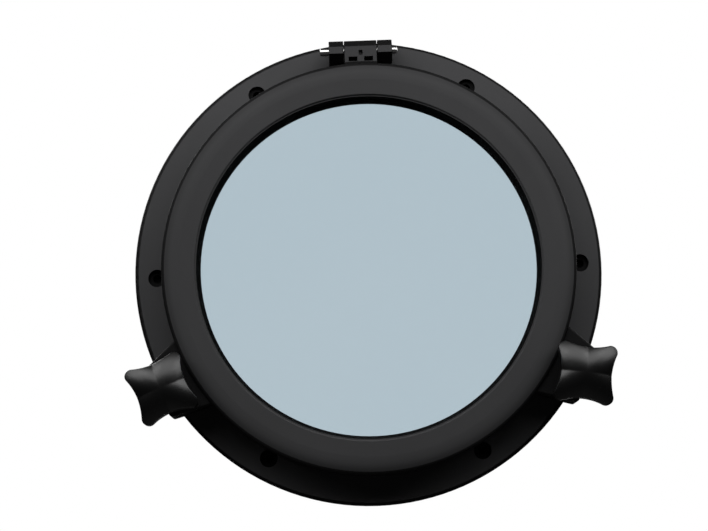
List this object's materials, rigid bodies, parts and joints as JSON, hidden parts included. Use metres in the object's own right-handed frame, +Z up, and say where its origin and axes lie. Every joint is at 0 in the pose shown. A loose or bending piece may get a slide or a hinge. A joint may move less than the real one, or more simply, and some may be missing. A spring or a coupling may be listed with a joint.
{
  "type": "round opening port with wall frame",
  "caption": "Round opening port in black moulded plastic: screw flange and spigot, top-hinged door ring with a tinted pane, and star-knob hand screws that clamp it shut",
  "frame": {"origin": "centre of the flange's back face, on the wall plane", "axes": "+Z up towards the hinge, -Y out of the wall into the room, +Y through the wall along the spigot, +X to the right seen from the room"},
  "size_m": [0.3074, 0.0812, 0.3],
  "materials": {
    "frame_plastic": "fine satin, moulded",
    "door_plastic": "fine satin, moulded",
    "knob_plastic": "semi-gloss, moulded",
    "tinted_pane": "clear, blue-grey tint",
    "black_rubber": "matt",
    "stainless": "drawn and polished",
    "brass_insert": "turned",
    "washer_nylon": "satin"
  },
  "bodies": {
    "frame": {"frame": "frame_plastic", "hinge_pin": "stainless", "left_insert": "brass_insert", "right_insert": "brass_insert"},
    "door": {"door_ring": "door_plastic", "pane": "tinted_pane", "glazing_gasket": "black_rubber", "pane_retainer": "door_plastic", "retainer_screws": "stainless", "door_seal": "black_rubber"},
    "left_turning_washer": {"left_washer": "washer_nylon"},
    "left_hand_screw": {"left_knob": "knob_plastic", "left_stud": "stainless", "left_clip": "stainless"},
    "right_turning_washer": {"right_washer": "washer_nylon"},
    "right_hand_screw": {"right_knob": "knob_plastic", "right_stud": "stainless", "right_clip": "stainless"}
  },
  "joints": [
    {"name": "door_swing", "type": "hinge", "parent": "frame", "child": "door", "pos_m": [0, -0.018, 0.1412], "axis": [-1, 0, 0], "range_deg": [0, 110]},
    {"name": "left_knob_turn", "type": "hinge", "parent": "door", "child": "left_turning_washer", "pos_m": [-0.13211, -0.0276, -0.07353], "axis": [0, -1, 0], "range_deg": [0, 2880]},
    {"name": "left_knob_lift", "type": "slide", "parent": "left_turning_washer", "child": "left_hand_screw", "axis": [0, -1, 0], "range_m": [0, 0.008]},
    {"name": "right_knob_turn", "type": "hinge", "parent": "door", "child": "right_turning_washer", "pos_m": [0.13211, -0.0276, -0.07353], "axis": [0, -1, 0], "range_deg": [0, 2880]},
    {"name": "right_knob_lift", "type": "slide", "parent": "right_turning_washer", "child": "right_hand_screw", "axis": [0, -1, 0], "range_m": [0, 0.008]}
  ],
  "couplings": [
    {"joint": "left_knob_lift", "follows": "left_knob_turn", "m_per_rad": 0.00015915},
    {"joint": "right_knob_lift", "follows": "right_knob_turn", "m_per_rad": 0.00015915}
  ]
}
